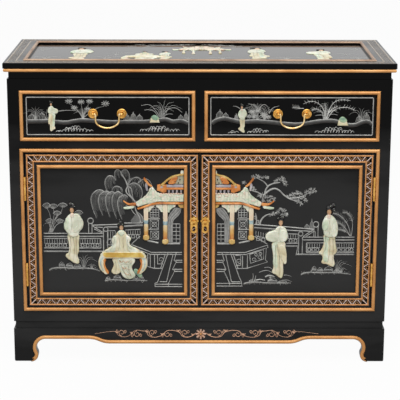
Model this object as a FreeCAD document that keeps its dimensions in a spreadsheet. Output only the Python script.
import FreeCAD, Part
import math
import os
from types import SimpleNamespace

import Sketcher
from FreeCAD import Placement, Rotation, Vector

# Black lacquer sideboard: two drawers over a pair of hinged doors, a mitred top with a sunken panel,
# and a base of shaped aprons on hoof feet. X runs to the right, the front faces -Y and the floor is Z = 0.
# The origin is on the floor under the middle of the top.

doc = FreeCAD.newDocument("Sideboard")
sheet = doc.addObject("Spreadsheet::Sheet", "Sizes")

# Driving sizes in millimetres
driving_sizes = {
    # top
    "top_width": 1016.0,
    "top_depth": 432.0,
    "top_edge_height": 14.8,
    "top_edge_round": 2.0,
    "edge_bead_width": 9.2,
    "edge_bead_proud": 4.6,
    "edge_bead_setback": 1.0,
    "overhang": 9.0,
    "rear_overhang": 4.0,
    "top_rail_width": 56.0,
    "recess_bead_width": 8.8,
    "recess_bead_proud": 4.4,
    "recess_bead_seat": 1.5,
    "recess_depth": 5.5,
    "top_panel_thickness": 6.0,
    "panel_tongue": 8.0,
    # neck and waist, the two narrow bands that part the case from its top and its base
    "neck_height": 18.7,
    "waist_height": 21.0,
    "band_inset": 3.9,
    "band_rail_width": 60.0,
    # case and face frame
    "frame_thickness": 20.0,
    "stile_width": 38.0,
    "top_rail_height": 38.3,
    "drawer_opening_height": 118.0,
    "middle_rail_height": 39.0,
    "door_opening_height": 424.5,
    "bottom_rail_height": 40.0,
    "muntin_width": 39.0,
    "tenon_length": 22.0,
    "tenon_thickness": 8.0,
    "tenon_shoulder": 8.0,
    "side_thickness": 18.0,
    "board_thickness": 15.0,
    "back_thickness": 6.0,
    "housing_depth": 6.0,
    "partition_thickness": 18.0,
    # gilt beads on the face
    "face_bead_width": 9.2,
    "face_bead_proud": 4.6,
    "drawer_bead_lap": 1.5,
    "door_bead_reveal": 1.5,
    # shelf and door stop
    "shelf_height": 362.0,
    "shelf_setback": 27.0,
    "shelf_play": 0.5,
    "shelf_rear_play": 2.0,
    "batten_height": 22.0,
    "batten_width": 20.0,
    "stop_length": 220.0,
    "stop_depth": 18.0,
    "stop_overlap": 20.0,
    "stop_gap": 0.5,
    "magnet_radius": 5.0,
    "magnet_depth": 8.0,
    "magnet_spacing": 128.0,
    "strike_radius": 7.0,
    "strike_thickness": 1.5,
    "socket_clearance": 0.1,
    # drawers
    "drawer_gap": 2.0,
    "drawer_front_thickness": 20.0,
    "drawer_side_thickness": 12.0,
    "drawer_side_inset": 1.0,
    "drawer_side_height": 105.0,
    "drawer_length": 397.0,
    "drawer_lift": 0.5,
    "runner_rise": 1.0,
    "drawer_bottom_rise": 10.0,
    "drawer_bottom_thickness": 6.0,
    "drawer_groove": 5.0,
    "guide_clearance": 1.0,
    "guide_height": 18.0,
    "guide_setback": 7.0,
    # drawer pulls
    "pull_spacing": 75.0,
    "pull_rise": 66.0,
    "rosette_radius": 12.8,
    "rosette_plate": 1.6,
    "rosette_rim": 3.6,
    "post_collar": 2.4,
    "post_radius": 3.6,
    "post_length": 13.5,
    "pivot_stand": 9.5,
    "shank_radius": 2.0,
    "shank_length": 14.0,
    "bail_wire_radius": 2.3,
    "bail_pin_radius": 1.7,
    "bail_pin_length": 3.0,
    "bail_bend": 3.0,
    "bail_leg": 11.5,
    "bail_corner": 18.5,
    "bail_drop": 36.5,
    "pivot_clearance": 0.05,
    "end_clearance": 0.3,
    # doors
    "door_gap": 2.0,
    "meeting_gap": 4.0,
    "hinge_gap": 3.0,
    "door_thickness": 20.0,
    "door_rail_width": 39.5,
    "door_panel_thickness": 10.0,
    "door_panel_recess": 6.0,
    "door_groove": 8.0,
    "panel_float": 1.0,
    "door_bead_width": 9.0,
    "door_bead_proud": 4.5,
    # hinges
    "hinge_length": 64.0,
    "upper_hinge_drop": 94.0,
    "lower_hinge_rise": 90.5,
    "leaf_thickness": 1.5,
    "leaf_width": 16.0,
    "leaf_relief": 0.9,
    "pin_stand": 3.5,
    "hinge_pin_radius": 1.2,
    "knuckle_clearance": 0.2,
    # door pulls
    "door_pull_inset": 13.0,
    "door_pull_drop": 182.0,
    "flower_radius": 9.4,
    "petal_radius": 3.4,
    "petal_ring": 9.0,
    "flower_thickness": 2.0,
    "stud_radius": 3.0,
    "stud_length": 10.0,
    "drop_stand": 7.0,
    "drop_width": 17.0,
    "drop_length": 32.0,
    "drop_crown": 4.0,
    "drop_thickness": 3.0,
    "drop_pin_radius": 1.2,
    "drop_slot_play": 0.4,
    "drop_slot_depth": 8.0,
    "drop_eye_width": 8.4,
    "drop_eye_height": 14.0,
    "drop_rim": 5.5,
    # base
    "base_height": 94.5,
    "base_proud": 1.0,
    "apron_thickness": 22.0,
    "arch_height": 65.0,
    "toe_flat": 44.0,
    "toe_radius": 20.0,
    "toe_round": 6.0,
    "ankle_radius": 25.0,
    "ogee_start": 200.0,
    "ogee_run": 58.0,
    "ogee_drop": 13.0,
    "base_bead_width": 9.4,
    "base_bead_proud": 4.5,
    "base_bead_setback": 0.5,
    "block_width": 32.0,
    "block_lift": 25.0,
}

knuckle_count = 5
petal_count = 8


class Size:
    """A length that carries both its number and the sheet expression that gives it."""

    def __init__(self, value, text):
        self.value = value
        self.text = text

    def __add__(self, other):
        other = as_size(other)
        return Size(self.value + other.value, f"({self.text} + {other.text})")

    def __sub__(self, other):
        other = as_size(other)
        return Size(self.value - other.value, f"({self.text} - {other.text})")

    def __mul__(self, other):
        other = as_size(other)
        return Size(self.value * other.value, f"({self.text} * {other.text})")

    def __truediv__(self, other):
        other = as_size(other)
        return Size(self.value / other.value, f"({self.text} / {other.text})")

    def __neg__(self):
        return Size(-self.value, f"(0 - {self.text})")

    def __radd__(self, other):
        return as_size(other) + self

    def __rsub__(self, other):
        return as_size(other) - self

    def __rmul__(self, other):
        return as_size(other) * self


def as_size(amount):
    return amount if isinstance(amount, Size) else Size(float(amount), repr(float(amount)))


def root(amount):
    return Size(math.sqrt(amount.value), f"sqrt({amount.text})")


def fill_sheet():
    sizes = {}
    for row, (alias, value) in enumerate(driving_sizes.items(), start=1):
        sheet.set(f"A{row}", alias)
        sheet.set(f"B{row}", str(value))
        sheet.setAlias(f"B{row}", alias)
        sizes[alias] = Size(value, f"Sizes.{alias}")
    doc.recompute()
    return SimpleNamespace(**sizes)


s = fill_sheet()
nodes = []


# Small tools for bound features


def bind(target, property_name, amount):
    target.setExpression(property_name, as_size(amount).text)


def place(target, x=0, y=0, z=0, rotation=Rotation()):
    target.Placement = Placement(Vector(), rotation)
    for axis, amount in zip("xyz", (x, y, z)):
        bind(target, f"Placement.Base.{axis}", amount)
    return target


def node(label, item):
    item.Label = label
    nodes.append(item)
    return item


def block(name, x, y, z):
    """A board between two corners: each pair is the low and the high place on that axis."""
    item = doc.addObject("Part::Box", name)
    for property_name, (low, high) in zip(("Length", "Width", "Height"), (x, y, z)):
        bind(item, property_name, as_size(high) - low)
    return place(item, x[0], y[0], z[0])


def rod(name, radius, length, start, direction):
    """A round bar from a start point along one of the axes."""
    item = doc.addObject("Part::Cylinder", name)
    bind(item, "Radius", radius)
    bind(item, "Height", length)
    return place(item, *start, rotation=Rotation(Vector(0, 0, 1), direction))


def cut(name, base, tools):
    item = doc.addObject("Part::Cut", name)
    item.Base = base
    item.Tool = tools[0] if len(tools) == 1 else join(name + "_tools", tools)
    return item


def join(name, items):
    item = doc.addObject("Part::MultiFuse", name)
    item.Shapes = items
    item.Refine = True
    return item


def group(name, items):
    item = doc.addObject("Part::Compound", name)
    item.Links = items
    return item


def mirrored(name, source):
    """The right-hand twin of a left-hand piece."""
    item = doc.addObject("Part::Mirroring", name)
    item.Source = source
    item.Base = Vector(0, 0, 0)
    item.Normal = Vector(1, 0, 0)
    return item


def pair(name, source):
    """Keeps a left-hand piece and its right-hand twin as two nodes."""
    node("left_" + name, source)
    node("right_" + name, mirrored("right_" + name + "_twin", source))


def new_body(name):
    return doc.addObject("PartDesign::Body", name)


def new_sketch(body, role, offset=0):
    sketch = body.newObject("Sketcher::SketchObject", body.Name + "_" + role[:2])
    plane = [feature for feature in body.Origin.OriginFeatures if feature.Role == role][0]
    sketch.AttachmentSupport = [(plane, "")]
    sketch.MapMode = "FlatFace"
    bind(sketch, "AttachmentOffset.Base.z", offset)
    return sketch


def bind_constraint(sketch, constraint, amount):
    index = sketch.addConstraint(constraint)
    sketch.setExpression(f"Constraints[{index}]", amount.text)


def pin_point(sketch, geometry, position, x, y):
    """Holds a sketch point at sheet-driven coordinates."""
    for kind, amount, axis in (("DistanceX", x, -2), ("DistanceY", y, -1)):
        amount = as_size(amount)
        if amount.text == "0.0":
            sketch.addConstraint(Sketcher.Constraint("PointOnObject", geometry, position, axis))
        else:
            datum = Sketcher.Constraint(kind, -1, 1, geometry, position, amount.value)
            bind_constraint(sketch, datum, amount)


def arc_geometry(start, end, radius, turn):
    """The shorter arc between two points, turning left (+1) or right (-1)."""
    chord = end - start
    middle = (start + end) * 0.5
    rise = math.sqrt(max(radius**2 - chord.Length**2 / 4, 0.0))
    normal = Vector(-chord.y, chord.x, 0).normalize()
    centre = middle + normal * (turn * rise)
    first, last = (start, end) if turn > 0 else (end, start)
    angles = [math.atan2(point.y - centre.y, point.x - centre.x) for point in (first, last)]
    if angles[1] < angles[0]:
        angles[1] += 2 * math.pi
    circle = Part.Circle(centre, Vector(0, 0, 1), radius)
    return Part.ArcOfCircle(circle, angles[0], angles[1])


def outline(sketch, corners, closed=True):
    """A chain of lines and arcs. A corner is (x, y), or (x, y, radius, turn) where an arc leaves it."""
    count = len(corners)
    points = [Vector(as_size(corner[0]).value, as_size(corner[1]).value, 0) for corner in corners]
    ends = []
    for index in range(count if closed else count - 1):
        start, end = points[index], points[(index + 1) % count]
        if len(corners[index]) == 2:
            geometry = sketch.addGeometry(Part.LineSegment(start, end), False)
            ends.append((geometry, 1, 2))
        else:
            radius, turn = corners[index][2:]
            geometry = sketch.addGeometry(arc_geometry(start, end, radius.value, turn), False)
            ends.append((geometry, 1, 2) if turn > 0 else (geometry, 2, 1))
            bind_constraint(sketch, Sketcher.Constraint("Radius", geometry, radius.value), radius)
    for index, (geometry, first, last) in enumerate(ends):
        pin_point(sketch, geometry, first, *corners[index][:2])
        if closed or index + 1 < len(ends):
            following = ends[(index + 1) % len(ends)]
            joint = Sketcher.Constraint("Coincident", geometry, last, following[0], following[1])
            sketch.addConstraint(joint)
        else:
            pin_point(sketch, geometry, last, *corners[-1][:2])


def circle(sketch, x, y, radius):
    shape = Part.Circle(Vector(as_size(x).value, as_size(y).value, 0), Vector(0, 0, 1), radius.value)
    geometry = sketch.addGeometry(shape, False)
    pin_point(sketch, geometry, 3, x, y)
    bind_constraint(sketch, Sketcher.Constraint("Radius", geometry, radius.value), radius)


def pad(body, sketch, length, side_type="One side", backwards=False):
    item = body.newObject("PartDesign::Pad", body.Name + "_pad")
    item.Profile = sketch
    item.SideType = side_type
    item.Reversed = backwards
    bind(item, "Length", length)
    return item


def pocket_through(body, sketch):
    item = body.newObject("PartDesign::Pocket", body.Name + "_pocket")
    item.Profile = sketch
    item.Type = "ThroughAll"
    item.SideType = "Symmetric"
    return item


def half_round(width, proud):
    """The section of a bead, flat side on the sketch's X axis."""
    radius = (width * width / 4 + proud * proud) / (proud * 2)
    return [(width, 0, radius, 1), (width / 2, proud, radius, 1), (0, 0)]


def rectangle(width, height):
    return [(0, 0), (width, 0), (width, height), (0, height)]


def mitred_length(name, section, length, width):
    """A length of moulding along X, its outer edge on Y = 0 and both ends cut at 45 degrees."""
    body = new_body(name)
    profile = new_sketch(body, "YZ_Plane")
    outline(profile, section)
    pad(body, profile, length, "Symmetric")
    ends = new_sketch(body, "XY_Plane")
    for side in (-1, 1):
        tip = side * length / 2
        outline(ends, [(tip, 0), (tip, width), (tip - side * width, width)])
    pocket_through(body, ends)
    return body


def mitred_ring(name, section, width, x, other, level, upright=False):
    """Four mitred lengths round a rectangle: lying flat at a height, or standing on the face."""
    middle_x = (x[0] + x[1]) / 2
    middle_other = (other[0] + other[1]) / 2
    stand = Rotation(Vector(1, 0, 0), 90) if upright else Rotation()
    sides = (
        ("lower", x[1] - x[0], middle_x, other[0], 0),
        ("right", other[1] - other[0], x[1], middle_other, 90),
        ("upper", x[1] - x[0], middle_x, other[1], 180),
        ("left", other[1] - other[0], x[0], middle_other, 270),
    )
    lengths = []
    for side, length, along_x, along_other, angle in sides:
        item = mitred_length(name + "_" + side, section, length, width)
        turn = stand * Rotation(Vector(0, 0, 1), angle)
        spot = (along_x, level, along_other) if upright else (along_x, along_other, level)
        lengths.append(place(item, *spot, rotation=turn))
    return group(name + "_ring", lengths)


def tenoned(name, x, y, z, along):
    """A rail with a tenon at both ends; returns the rail and the tenon bar that cuts its mortises."""
    middle = (y[0] + y[1]) / 2
    tenon_y = (middle - s.tenon_thickness / 2, middle + s.tenon_thickness / 2)
    if along == "x":
        tenon_x = (x[0] - s.tenon_length, x[1] + s.tenon_length)
        tenon_z = (z[0] + s.tenon_shoulder, z[1] - s.tenon_shoulder)
    else:
        tenon_x = (x[0] + s.tenon_shoulder, x[1] - s.tenon_shoulder)
        tenon_z = (z[0] - s.tenon_length, z[1] + s.tenon_length)
    bar = block(name + "_tenon", tenon_x, tenon_y, tenon_z)
    return join(name + "_rail", [block(name + "_board", x, y, z), bar]), bar


# Levels and planes worked out from the driving sizes
case_half = s.top_width / 2 - s.overhang
case_front = s.overhang - s.top_depth / 2
case_rear = s.top_depth / 2 - s.rear_overhang
frame_back = case_front + s.frame_thickness
opening_half = case_half - s.stile_width
waist_bottom = s.base_height
case_bottom = waist_bottom + s.waist_height
door_opening = (case_bottom + s.bottom_rail_height, case_bottom + s.bottom_rail_height + s.door_opening_height)
drawer_floor = door_opening[1] + s.middle_rail_height
drawer_ceiling = drawer_floor + s.drawer_opening_height
case_top = drawer_ceiling + s.top_rail_height
neck_top = case_top + s.neck_height
top_surface = neck_top + s.edge_bead_width + s.top_edge_height
muntin_half = s.muntin_width / 2
side_inner = case_half - s.side_thickness
back_front = case_rear - s.back_thickness


# Top: mitred frame, sunken panel and two gilt beads


def make_top():
    half_x = s.top_width / 2
    half_y = s.top_depth / 2
    width = s.top_rail_width
    thickness = s.edge_bead_width + s.top_edge_height
    rebate = s.edge_bead_setback + s.edge_bead_proud
    panel_top = thickness - s.recess_depth
    panel_bottom = panel_top - s.top_panel_thickness
    seat = width - s.recess_bead_width
    rounding = s.top_edge_round
    section = [
        (0, s.edge_bead_width + rounding, rounding, 1),
        (rounding, s.edge_bead_width),
        (rebate, s.edge_bead_width),
        (rebate, 0),
        (width, 0),
        (width, panel_bottom),
        (width - s.panel_tongue, panel_bottom),
        (width - s.panel_tongue, panel_top),
        (width, panel_top),
        (width, thickness - s.recess_bead_seat),
        (seat, thickness - s.recess_bead_seat),
        (seat, thickness),
        (rounding, thickness, rounding, 1),
        (0, thickness - rounding),
    ]
    node("top_frame", mitred_ring("top_frame", section, width, (-half_x, half_x), (-half_y, half_y), neck_top))

    reach = width - s.panel_tongue
    panel_x = (reach - half_x, half_x - reach)
    panel_y = (reach - half_y, half_y - reach)
    panel_z = (neck_top + panel_bottom, neck_top + panel_top)
    node("top_panel", block("top_panel_board", panel_x, panel_y, panel_z))

    bead = half_round(s.recess_bead_width, s.recess_bead_proud)
    bead_x = (seat - half_x, half_x - seat)
    bead_y = (seat - half_y, half_y - seat)
    bead_level = top_surface - s.recess_bead_seat
    node("top_recess_bead", mitred_ring("recess_bead", bead, s.recess_bead_width, bead_x, bead_y, bead_level))

    # The bead under the edge is half round on its side, its crown a little behind the edge above it
    radius = half_round(s.edge_bead_width, s.edge_bead_proud)[0][2]
    edge_section = [
        (s.edge_bead_proud, s.edge_bead_width, radius, 1),
        (0, s.edge_bead_width / 2, radius, 1),
        (s.edge_bead_proud, 0),
    ]
    edge_x = (s.edge_bead_setback - half_x, half_x - s.edge_bead_setback)
    edge_y = (s.edge_bead_setback - half_y, half_y - s.edge_bead_setback)
    node("top_edge_bead", mitred_ring("edge_bead", edge_section, s.edge_bead_proud, edge_x, edge_y, neck_top))


def make_bands():
    """The neck above the case and the waist below it: mitred rails laid flat."""
    half_x = case_half - s.band_inset
    x = (-half_x, half_x)
    y = (case_front + s.band_inset, case_rear - s.band_inset)
    neck = rectangle(s.band_rail_width, s.neck_height)
    waist = rectangle(s.band_rail_width, s.waist_height)
    node("neck_frame", mitred_ring("neck", neck, s.band_rail_width, x, y, case_top))
    node("waist_frame", mitred_ring("waist", waist, s.band_rail_width, x, y, waist_bottom))


# Case: face frame with tenoned rails, housed boards, drawer guides, shelf and door stop


def make_face_frame(stile_cuts):
    y = (case_front, frame_back)
    inner = (-opening_half, opening_half)
    top_rail, top_tenon = tenoned("face_top", inner, y, (drawer_ceiling, case_top), "x")
    middle_rail, middle_tenon = tenoned("face_middle", inner, y, (door_opening[1], drawer_floor), "x")
    bottom_rail, bottom_tenon = tenoned("face_bottom", inner, y, (case_bottom, door_opening[0]), "x")
    muntin_x = (-muntin_half, muntin_half)
    muntin, muntin_tenon = tenoned("face_muntin", muntin_x, y, (drawer_floor, drawer_ceiling), "z")
    node("top_rail", cut("top_rail_mortised", top_rail, [muntin_tenon]))
    node("middle_rail", cut("middle_rail_mortised", middle_rail, [muntin_tenon]))
    node("bottom_rail", bottom_rail)
    node("drawer_muntin", muntin)
    stile = block("stile_board", (-case_half, -opening_half), y, (case_bottom, case_top))
    tools = [top_tenon, middle_tenon, bottom_tenon] + stile_cuts
    left_stile = cut("left_stile_mortised", stile, tools)
    pair("stile", left_stile)


def make_case():
    height = (case_bottom, case_top)
    depth = (frame_back, back_front)
    housed = (s.housing_depth * -1 - side_inner, side_inner + s.housing_depth)
    floor = block("floor_board", housed, depth, (door_opening[0] - s.board_thickness, door_opening[0]))
    deck = block("deck_board", housed, depth, (drawer_floor - s.board_thickness, drawer_floor))
    back = block("back_board", housed, (back_front, case_rear), height)
    side = block("side_board", (-case_half, -side_inner), (frame_back, case_rear), height)
    node("case_floor", floor)
    node("drawer_deck", deck)
    node("back_panel", back)
    pair("side_panel", cut("side_housed", side, [floor, deck, back]))

    half = s.partition_thickness / 2
    node("drawer_partition", block("partition_board", (-half, half), depth, (drawer_floor, case_top)))

    guide_y = (frame_back + s.guide_setback, back_front)
    guide_z = (drawer_floor, drawer_floor + s.guide_height)
    outer = block("outer_guide", (-side_inner, drawer_box_x[0] - s.guide_clearance), guide_y, guide_z)
    inner = block("inner_guide", (drawer_box_x[1] + s.guide_clearance, -half), guide_y, guide_z)
    runner_z = (drawer_floor, runner_top)
    outer_runner_x = (drawer_box_x[0] - s.guide_clearance, drawer_box_x[0] + s.drawer_side_thickness)
    inner_runner_x = (drawer_box_x[1] - s.drawer_side_thickness, drawer_box_x[1] + s.guide_clearance)
    strips = [outer, inner]
    strips.append(block("outer_runner", outer_runner_x, guide_y, runner_z))
    strips.append(block("inner_runner", inner_runner_x, guide_y, runner_z))
    twins = [mirrored(f"guide_twin_{index}", strip) for index, strip in enumerate(strips)]
    node("drawer_guides", group("drawer_guide_set", strips + twins))

    shelf_x = (s.shelf_play - side_inner, side_inner - s.shelf_play)
    shelf_y = (frame_back + s.shelf_setback, back_front - s.shelf_rear_play)
    node("shelf", block("shelf_board", shelf_x, shelf_y, (s.shelf_height, s.shelf_height + s.board_thickness)))
    batten_x = (-side_inner, s.batten_width - side_inner)
    batten = block("batten", batten_x, shelf_y, (s.shelf_height - s.batten_height, s.shelf_height))
    node("shelf_battens", group("batten_set", [batten, mirrored("batten_twin", batten)]))


def make_door_stop():
    half = s.stop_length / 2
    front = frame_back + s.stop_gap
    level = door_z[1] - s.stop_overlap / 2
    z = (door_z[1] - s.stop_overlap, drawer_floor - s.board_thickness)
    strip = block("stop_strip", (-half, half), (front, front + s.stop_depth), z)
    spots = [side * s.magnet_spacing / 2 for side in (-1, 1)]
    sockets = []
    magnets = []
    for index, x in enumerate(spots):
        start = (x, front, level)
        radius = s.magnet_radius + s.socket_clearance
        sockets.append(rod(f"magnet_socket_{index}", radius, s.magnet_depth, start, Vector(0, 1, 0)))
        magnets.append(rod(f"magnet_{index}", s.magnet_radius, s.magnet_depth, start, Vector(0, 1, 0)))
    node("door_stop", cut("stop_drilled", strip, sockets))
    node("door_magnets", group("magnet_set", magnets))


def make_face_beads():
    bead = half_round(s.face_bead_width, s.face_bead_proud)
    grow = s.face_bead_width - s.drawer_bead_lap
    drawer_x = (-opening_half - grow, grow - muntin_half)
    drawer_bead_z = (drawer_floor - grow, drawer_ceiling + grow)
    ring = mitred_ring("drawer_bead", bead, s.face_bead_width, drawer_x, drawer_bead_z, case_front, True)
    node("drawer_surrounds", group("drawer_bead_set", [ring, mirrored("drawer_bead_twin", ring)]))
    grow = s.face_bead_width + s.door_bead_reveal
    door_x = (-opening_half - grow, opening_half + grow)
    door_bead_z = (door_opening[0] - grow, door_opening[1] + grow)
    ring = mitred_ring("door_surround", bead, s.face_bead_width, door_x, door_bead_z, case_front, True)
    node("door_surround", ring)


# Drawers: grooved box behind an inset front


drawer_front_x = (
    s.drawer_bead_lap + s.drawer_gap - opening_half,
    -(muntin_half + s.drawer_bead_lap + s.drawer_gap),
)
drawer_front_z = (
    drawer_floor + s.drawer_bead_lap + s.drawer_gap,
    drawer_ceiling - s.drawer_bead_lap - s.drawer_gap,
)
drawer_box_x = (drawer_front_x[0] + s.drawer_side_inset, drawer_front_x[1] - s.drawer_side_inset)
runner_top = drawer_floor + s.drawer_bead_lap + s.runner_rise
pull_x = (drawer_front_x[0] + drawer_front_x[1]) / 2
pull_z = drawer_floor + s.pull_rise


def make_drawer():
    front_back = case_front + s.drawer_front_thickness
    rear = case_front + s.drawer_length
    box_bottom = runner_top + s.drawer_lift
    box_top = box_bottom + s.drawer_side_height
    thickness = s.drawer_side_thickness
    inner_x = (drawer_box_x[0] + thickness, drawer_box_x[1] - thickness)
    bottom_low = box_bottom + s.drawer_bottom_rise
    bottom_high = bottom_low + s.drawer_bottom_thickness
    bottom_x = (inner_x[0] - s.drawer_groove, inner_x[1] + s.drawer_groove)
    bottom_y = (front_back - s.drawer_groove, rear)
    bottom = block("drawer_bottom_board", bottom_x, bottom_y, (bottom_low, bottom_high))
    front = block("drawer_front_board", drawer_front_x, (case_front, front_back), drawer_front_z)
    shank_holes = []
    for index, side in enumerate((-1, 1)):
        start = (pull_x + side * s.pull_spacing / 2, case_front, pull_z)
        radius = s.shank_radius + s.socket_clearance
        shank_holes.append(rod(f"shank_hole_{index}", radius, s.shank_length, start, Vector(0, 1, 0)))
    pair("drawer_front", cut("drawer_front_cut", front, [bottom] + shank_holes))
    side_y = (front_back, rear)
    outer = block("drawer_outer_side", (drawer_box_x[0], inner_x[0]), side_y, (box_bottom, box_top))
    inner = block("drawer_inner_side", (inner_x[1], drawer_box_x[1]), side_y, (box_bottom, box_top))
    sides = [cut("drawer_outer_grooved", outer, [bottom]), cut("drawer_inner_grooved", inner, [bottom])]
    pair("drawer_sides", group("drawer_side_pair", sides))
    pair("drawer_back", block("drawer_back_board", inner_x, (rear - thickness, rear), (bottom_high, box_top)))
    pair("drawer_bottom", bottom)


def make_pull_post(name, x, turn):
    """A turned rosette with a beaded rim and a collared post, drilled from its inner side for the bail."""
    body = new_body(name)
    profile = new_sketch(body, "XY_Plane")
    rim = s.rosette_rim / 2
    rim_middle = s.rosette_radius - rim
    collar = s.post_collar / 2
    collar_middle = s.post_radius + collar
    level = -s.rosette_plate
    outline(
        profile,
        [
            (0, s.shank_length),
            (s.shank_radius, s.shank_length),
            (s.shank_radius, 0),
            (s.rosette_radius, 0),
            (s.rosette_radius, level, rim, -1),
            (rim_middle, level - rim, rim, -1),
            (rim_middle - rim, level),
            (collar_middle + collar, level, collar, -1),
            (collar_middle, level - collar, collar, -1),
            (s.post_radius, level),
            (s.post_radius, s.post_radius - s.post_length, s.post_radius, -1),
            (0, -s.post_length),
        ],
    )
    turned = body.newObject("PartDesign::Revolution", name + "_turned")
    turned.Profile = profile
    turned.ReferenceAxis = (profile, ["V_Axis"])
    turned.Angle = 360
    hole = new_sketch(body, "YZ_Plane")
    circle(hole, -s.pivot_stand, 0, s.bail_pin_radius + s.pivot_clearance)
    drilled = body.newObject("PartDesign::Pocket", name + "_drilled")
    drilled.Profile = hole
    drilled.Reversed = True
    bind(drilled, "Length", s.post_radius * 2)
    return place(body, x, case_front, pull_z, Rotation(Vector(0, 1, 0), turn))


def make_drawer_pull():
    half = s.pull_spacing / 2
    posts = [make_pull_post("pull_post_a", pull_x - half, 0), make_pull_post("pull_post_b", pull_x + half, 180)]
    pair("drawer_pull_posts", group("pull_post_pair", posts))

    # The bail: short bent ends, straight legs, round corners and a flatter bottom arc, all tangent
    end = half - s.post_radius - s.end_clearance
    leg = end - s.bail_bend
    depth = s.bail_bend + s.bail_leg
    reach = leg - s.bail_corner
    fall = s.bail_drop - depth
    sweep = (reach * reach + fall * fall - s.bail_corner * s.bail_corner) / ((fall - s.bail_corner) * 2)
    sweep_centre = sweep - s.bail_drop
    share = sweep / (sweep - s.bail_corner)
    meet_x = reach * share
    meet_z = sweep_centre - (sweep_centre + depth) * share
    body = new_body("bail_wire")
    path = new_sketch(body, "XZ_Plane")
    route = [
        (-end, 0, s.bail_bend, -1),
        (-leg, -s.bail_bend),
        (-leg, -depth, s.bail_corner, 1),
        (-meet_x, meet_z, sweep, 1),
        (0, -s.bail_drop, sweep, 1),
        (meet_x, meet_z, s.bail_corner, 1),
        (leg, -depth),
        (leg, -s.bail_bend, s.bail_bend, -1),
        (end, 0),
    ]
    outline(path, route, closed=False)
    profile = new_sketch(body, "YZ_Plane", -end)
    circle(profile, 0, 0, s.bail_wire_radius)
    wire = body.newObject("PartDesign::AdditivePipe", "bail_pipe")
    wire.Profile = profile
    wire.Spine = path
    stand = case_front - s.pivot_stand
    place(body, pull_x, stand, pull_z)
    # Each pin starts inside the wire and ends inside its post
    pins = []
    for index, side in enumerate((-1, 1)):
        start = (pull_x + side * (end - s.bail_bend / 2), stand, pull_z)
        reach_in = s.bail_bend / 2 + s.end_clearance + s.bail_pin_length
        pins.append(rod(f"bail_pin_{index}", s.bail_pin_radius, reach_in, start, Vector(side, 0, 0)))
    pair("drawer_bail", join("bail_with_pins", [body] + pins))


# Doors: tenoned frame round a loose panel, gilt bead, hinges and drop pull


door_x = (s.hinge_gap - opening_half, s.meeting_gap / -2)
door_z = (door_opening[0] + s.door_gap, door_opening[1] - s.door_gap)
door_back = case_front + s.door_thickness
sight_x = (door_x[0] + s.door_rail_width, door_x[1] - s.door_rail_width)
sight_z = (door_z[0] + s.door_rail_width, door_z[1] - s.door_rail_width)
door_pull_x = door_x[1] - s.door_pull_inset
door_pull_z = door_z[1] - s.door_pull_drop
hinge_centres = (door_z[1] - s.upper_hinge_drop, door_z[0] + s.lower_hinge_rise)


def make_door(stile_cuts):
    y = (case_front, door_back)
    panel_y = (case_front + s.door_panel_recess, case_front + s.door_panel_recess + s.door_panel_thickness)
    groove_x = (sight_x[0] - s.door_groove, sight_x[1] + s.door_groove)
    groove_z = (sight_z[0] - s.door_groove, sight_z[1] + s.door_groove)
    groove = block("door_groove_space", groove_x, panel_y, groove_z)
    panel_x = (groove_x[0] + s.panel_float, groove_x[1] - s.panel_float)
    panel_z = (groove_z[0] + s.panel_float, groove_z[1] - s.panel_float)
    pair("door_panel", block("door_panel_board", panel_x, panel_y, panel_z))

    upper, upper_tenon = tenoned("door_upper", sight_x, y, (sight_z[1], door_z[1]), "x")
    lower, lower_tenon = tenoned("door_lower", sight_x, y, (door_z[0], sight_z[0]), "x")
    strike_spot = (s.magnet_spacing / -2, door_back, door_z[1] - s.stop_overlap / 2)
    recess_radius = s.strike_radius + s.socket_clearance
    recess = rod("strike_recess", recess_radius, s.strike_thickness, strike_spot, Vector(0, -1, 0))
    strike = rod("strike_disc", s.strike_radius, s.strike_thickness, strike_spot, Vector(0, -1, 0))
    shank_start = (door_pull_x, case_front, door_pull_z)
    hole_radius = s.shank_radius + s.socket_clearance
    shank_hole = rod("door_shank_hole", hole_radius, s.shank_length, shank_start, Vector(0, 1, 0))
    hinge_stile = block("door_hinge_stile", (door_x[0], sight_x[0]), y, door_z)
    meeting_stile = block("door_meeting_stile", (sight_x[1], door_x[1]), y, door_z)
    tenons = [upper_tenon, lower_tenon]
    frame = [
        cut("door_hinge_stile_cut", hinge_stile, [groove] + tenons + stile_cuts),
        cut("door_meeting_stile_cut", meeting_stile, [groove, shank_hole] + tenons),
        cut("door_upper_cut", upper, [groove, recess]),
        cut("door_lower_cut", lower, [groove]),
    ]
    pair("door_frame", group("door_frame_set", frame))
    pair("door_strike", strike)

    bead = half_round(s.door_bead_width, s.door_bead_proud)
    bead_x = (sight_x[0] - s.door_bead_width, sight_x[1] + s.door_bead_width)
    bead_z = (sight_z[0] - s.door_bead_width, sight_z[1] + s.door_bead_width)
    pair("door_bead", mitred_ring("door_bead", bead, s.door_bead_width, bead_x, bead_z, case_front, True))


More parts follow.
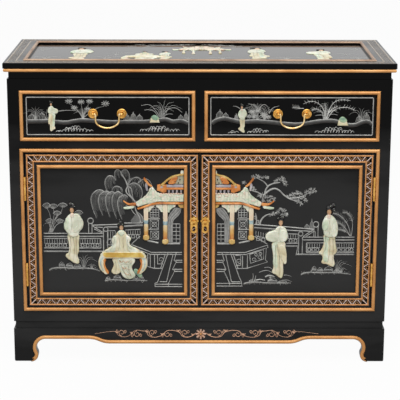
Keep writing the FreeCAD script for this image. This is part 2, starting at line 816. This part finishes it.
def make_hinges():
    """Butt hinges: the leaves are let into the stiles and meet in a barrel that stands in front."""
    axis_x = (door_x[0] - opening_half) / 2
    axis_y = case_front - s.pin_stand
    barrel = s.hinge_gap / 2 + s.leaf_thickness
    bore = s.hinge_pin_radius + s.pivot_clearance
    leaf_y = (axis_y + barrel + s.leaf_relief, case_front + s.leaf_width)
    spans = {
        "case": (-opening_half - s.leaf_thickness, -opening_half),
        "door": (door_x[0], door_x[0] + s.leaf_thickness),
    }
    pitch = s.hinge_length / knuckle_count
    leaves = {"case": [], "door": []}
    mortises = {"case": [], "door": []}
    pins = []
    for order, centre in enumerate(hinge_centres):
        low = centre - s.hinge_length / 2
        high = centre + s.hinge_length / 2
        drill = rod(f"hinge_bore_{order}", bore, s.hinge_length, (axis_x, axis_y, low), Vector(0, 0, 1))
        pin_start = (axis_x, axis_y, low)
        pins.append(rod(f"hinge_pin_{order}", s.hinge_pin_radius, s.hinge_length, pin_start, Vector(0, 0, 1)))
        for owner, x in spans.items():
            name = f"{owner}_leaf_{order}"
            pieces = [block(name + "_plate", x, leaf_y, (low, high))]
            mortises[owner].append(block(name + "_mortise", x, (case_front, leaf_y[1]), (low, high)))
            for knuckle in range(0 if owner == "case" else 1, knuckle_count, 2):
                bottom = low + pitch * knuckle + s.knuckle_clearance / 2
                top = low + pitch * (knuckle + 1) - s.knuckle_clearance / 2
                start = (axis_x, axis_y, bottom)
                pieces.append(rod(f"{name}_knuckle_{knuckle}", barrel, top - bottom, start, Vector(0, 0, 1)))
                pieces.append(block(f"{name}_tab_{knuckle}", x, (axis_y, leaf_y[0]), (bottom, top)))
            leaves[owner].append(cut(name, join(name + "_blank", pieces), [drill]))
    case_pair = group("case_leaf_pair", leaves["case"])
    node("case_hinge_leaves", group("case_leaf_set", [case_pair, mirrored("case_leaf_twins", case_pair)]))
    pair("door_hinge_leaves", group("door_leaf_pair", leaves["door"]))
    twins = [mirrored(f"hinge_pin_twin_{order}", pin) for order, pin in enumerate(pins)]
    node("hinge_pins", group("hinge_pin_set", pins + twins))
    return mortises


def make_door_pull():
    """A petalled plate with a stud, and a pierced drop that swings on a pin through the stud."""
    body = new_body("pull_flower")
    disc = new_sketch(body, "XZ_Plane")
    circle(disc, 0, 0, s.flower_radius)
    pad(body, disc, s.flower_thickness)
    petal_sketch = new_sketch(body, "XZ_Plane")
    circle(petal_sketch, s.petal_ring, 0, s.petal_radius)
    petal = pad(body, petal_sketch, s.flower_thickness)
    petals = body.newObject("PartDesign::PolarPattern", "petals")
    petals.Originals = [petal]
    petals.Axis = (disc, ["N_Axis"])
    petals.Angle = 360
    petals.Occurrences = petal_count
    body.Tip = petals
    stud_sketch = new_sketch(body, "XZ_Plane")
    circle(stud_sketch, 0, 0, s.stud_radius)
    pad(body, stud_sketch, s.stud_length)
    shank_sketch = new_sketch(body, "XZ_Plane")
    circle(shank_sketch, 0, 0, s.shank_radius)
    pad(body, shank_sketch, s.shank_length, backwards=True)
    hole = new_sketch(body, "YZ_Plane")
    circle(hole, -s.drop_stand, 0, s.drop_pin_radius + s.pivot_clearance)
    pocket_through(body, hole)
    pair("door_pull_plate", place(body, door_pull_x, case_front, door_pull_z))

    half = s.drop_width / 2
    slot = s.stud_radius + s.drop_slot_play
    eye_half = s.drop_eye_width / 2
    eye_low = s.drop_rim - s.drop_length + eye_half
    eye_high = s.drop_rim - s.drop_length + s.drop_eye_height - eye_half
    shoulder = s.drop_crown - half
    drop = new_body("drop_plate")
    face = new_sketch(drop, "XZ_Plane")
    lobe = half - s.drop_length
    rise = root(half * half - slot * slot) + shoulder
    outline(
        face,
        [
            (-half, shoulder),
            (-half, lobe, half, 1),
            (0, -s.drop_length, half, 1),
            (half, lobe),
            (half, shoulder, half, 1),
            (slot, rise),
            (slot, -s.drop_slot_depth),
            (-slot, -s.drop_slot_depth),
            (-slot, rise, half, 1),
        ],
    )
    pad(drop, face, s.drop_thickness, "Symmetric")
    eye = new_sketch(drop, "XZ_Plane")
    outline(
        eye,
        [
            (-eye_half, eye_high),
            (-eye_half, eye_low, eye_half, 1),
            (0, eye_low - eye_half, eye_half, 1),
            (eye_half, eye_low),
            (eye_half, eye_high, eye_half, 1),
            (0, eye_high + eye_half, eye_half, 1),
        ],
    )
    pocket_through(drop, eye)
    place(drop, door_pull_x, case_front - s.drop_stand, door_pull_z)
    pin_half = (half + slot) / 2
    pin_start = (door_pull_x - pin_half, case_front - s.drop_stand, door_pull_z)
    pin = rod("drop_pin", s.drop_pin_radius, pin_half * 2, pin_start, Vector(1, 0, 0))
    pair("door_drop_pull", join("drop_with_pin", [drop, pin]))


# Base: four shaped aprons on hoof feet, gilt beads along their lower edges, corner blocks


base_half = case_half + s.base_proud
base_y = (case_front - s.base_proud, case_rear)


def foot_to_middle(half, inside, ogee):
    """The lower edge of an apron from its left foot to the middle, shifted inwards by a distance."""
    toe_x = s.toe_flat - half
    ankle_run = root(
        (s.toe_radius + s.ankle_radius) * (s.toe_radius + s.ankle_radius)
        - (s.arch_height - s.ankle_radius - s.toe_radius) * (s.arch_height - s.ankle_radius - s.toe_radius)
    )
    share = (s.toe_radius - inside) / (s.toe_radius + s.ankle_radius)
    turn_x = toe_x + ankle_run * share
    turn_z = s.toe_radius + (s.arch_height - s.ankle_radius - s.toe_radius) * share
    ankle_x = toe_x + ankle_run
    level = s.arch_height + inside
    toe = s.toe_radius - inside
    ankle = s.ankle_radius + inside
    tip = (toe_x + toe, s.toe_radius)
    hollow = (ankle_x - ankle, s.arch_height - s.ankle_radius)
    edge = [
        (toe_x, inside, toe, 1),
        (*tip, toe, 1),
        (turn_x, turn_z, ankle, -1),
        (*hollow, ankle, -1),
        (ankle_x, level),
    ]
    if ogee:
        start = s.ogee_start - half
        swing = (s.ogee_run * s.ogee_run + s.ogee_drop * s.ogee_drop) / (s.ogee_drop * 4)
        lean = s.ogee_run / (swing * 2)
        fall = (swing * 2 - s.ogee_drop) / (swing * 2)
        bend_x = start + s.ogee_run / 2 + inside * lean
        bend_z = s.arch_height - s.ogee_drop / 2 + inside * fall
        edge += [
            (start, level, swing + inside, -1),
            (bend_x, bend_z, swing - inside, 1),
            (start + s.ogee_run, level - s.ogee_drop),
        ]
    return edge


def mirrored_route(edge):
    """Follows an edge from the left foot to the middle and on to the right foot."""
    route = list(edge)
    for index in range(len(edge) - 1, -1, -1):
        x, z = edge[index][:2]
        if index > 0 and len(edge[index - 1]) == 4:
            route.append((-x, z, *edge[index - 1][2:]))
        else:
            route.append((-x, z))
    return route


def round_toes(body, half):
    """Eases the outer lower edge under each foot, as far in as the toe is flat."""
    for side in (-1, 1):
        corner = new_sketch(body, "YZ_Plane", side * half)
        outline(corner, [(0, 0), (s.toe_round, 0, s.toe_round, -1), (0, s.toe_round)])
        eased = body.newObject("PartDesign::Pocket", body.Name + "_eased")
        eased.Profile = corner
        eased.Reversed = side < 0
        bind(eased, "Length", s.toe_flat)


def make_apron(name, length, ogee):
    """An apron board with hoof feet, mitred at both ends, its front on Y = 0."""
    half = length / 2
    body = new_body(name)
    face = new_sketch(body, "XZ_Plane")
    lower_edge = mirrored_route(foot_to_middle(half, as_size(0), ogee))
    outline(face, lower_edge + [(half, 0), (half, s.base_height), (-half, s.base_height), (-half, 0)])
    pad(body, face, s.apron_thickness, backwards=True)
    ends = new_sketch(body, "XY_Plane")
    for side in (-1, 1):
        tip = side * half
        outline(ends, [(tip, 0), (tip, s.apron_thickness), (tip - side * s.apron_thickness, s.apron_thickness)])
    pocket_through(body, ends)
    round_toes(body, half)
    return body


def make_apron_bead(name, length, ogee):
    """A half-round bead swept along the lower edge, from toe to toe, each end cut to a point on the floor."""
    inside = s.base_bead_setback + s.base_bead_width / 2
    edge = foot_to_middle(length / 2, inside, ogee)
    body = new_body(name)
    path = new_sketch(body, "XZ_Plane")
    outline(path, mirrored_route(edge), closed=False)
    profile = new_sketch(body, "YZ_Plane", edge[0][0])
    radius = half_round(s.base_bead_width, s.base_bead_proud)[0][2]
    low = s.base_bead_setback
    outline(
        profile,
        [
            (0, low + s.base_bead_width, radius, 1),
            (-s.base_bead_proud, low + s.base_bead_width / 2, radius, 1),
            (0, low),
        ],
    )
    bead = body.newObject("PartDesign::AdditivePipe", name + "_pipe")
    bead.Profile = profile
    bead.Spine = path
    reach = low * 2 + s.base_bead_width
    points = new_sketch(body, "XZ_Plane")
    for side in (-1, 1):
        toe = -side * edge[0][0]
        outline(points, [(toe, 0), (toe, reach), (toe - side * reach, reach)])
    pocket_through(body, points)
    return body


def make_base():
    middle_y = (base_y[0] + base_y[1]) / 2
    width = base_half * 2
    depth = base_y[1] - base_y[0]
    to_left = Rotation(Vector(0, 0, 1), -90)
    node("front_apron", place(make_apron("front_apron_board", width, True), 0, base_y[0]))
    rear = make_apron("rear_apron_board", width, False)
    node("rear_apron", place(rear, 0, base_y[1], 0, Rotation(Vector(0, 0, 1), 180)))
    pair("apron", place(make_apron("side_apron_board", depth, False), -base_half, middle_y, 0, to_left))

    front_bead = place(make_apron_bead("front_apron_bead", width, True), 0, base_y[0])
    side_bead = place(make_apron_bead("side_apron_bead", depth, False), -base_half, middle_y, 0, to_left)
    beads = [front_bead, side_bead, mirrored("side_apron_bead_twin", side_bead)]
    node("base_bead", group("base_bead_set", beads))

    left = s.apron_thickness - base_half
    x = (left, left + s.block_width)
    z = (s.block_lift, s.base_height)
    front = block("front_block", x, (base_y[0] + s.apron_thickness, base_y[0] + s.apron_thickness + s.block_width), z)
    rear_y = (base_y[1] - s.apron_thickness - s.block_width, base_y[1] - s.apron_thickness)
    back = block("rear_block", x, rear_y, z)
    blocks = [front, back, mirrored("front_block_twin", front), mirrored("rear_block_twin", back)]
    node("corner_blocks", group("corner_block_set", blocks))


def check_and_write():
    doc.recompute()
    failed = [item.Name for item in doc.Objects if "Invalid" in item.State or "Error" in item.State]
    for item in nodes:
        if item.Shape.isNull() or not item.Shape.isValid() or not item.Shape.Solids:
            failed.append(item.Label)
    if failed:
        raise RuntimeError("failed: " + ", ".join(failed))
    os.makedirs("parts", exist_ok=True)
    for item in nodes:
        item.Shape.exportStep(f"parts/{item.Label}.step")
    print(len(nodes), "nodes,", sum(len(item.Shape.Solids) for item in nodes), "solids")


hinge_mortises = make_hinges()
make_base()
make_bands()
make_face_frame(hinge_mortises["case"])
make_case()
make_door_stop()
make_face_beads()
make_top()
make_drawer()
make_drawer_pull()
make_door(hinge_mortises["door"])
make_door_pull()
check_and_write()
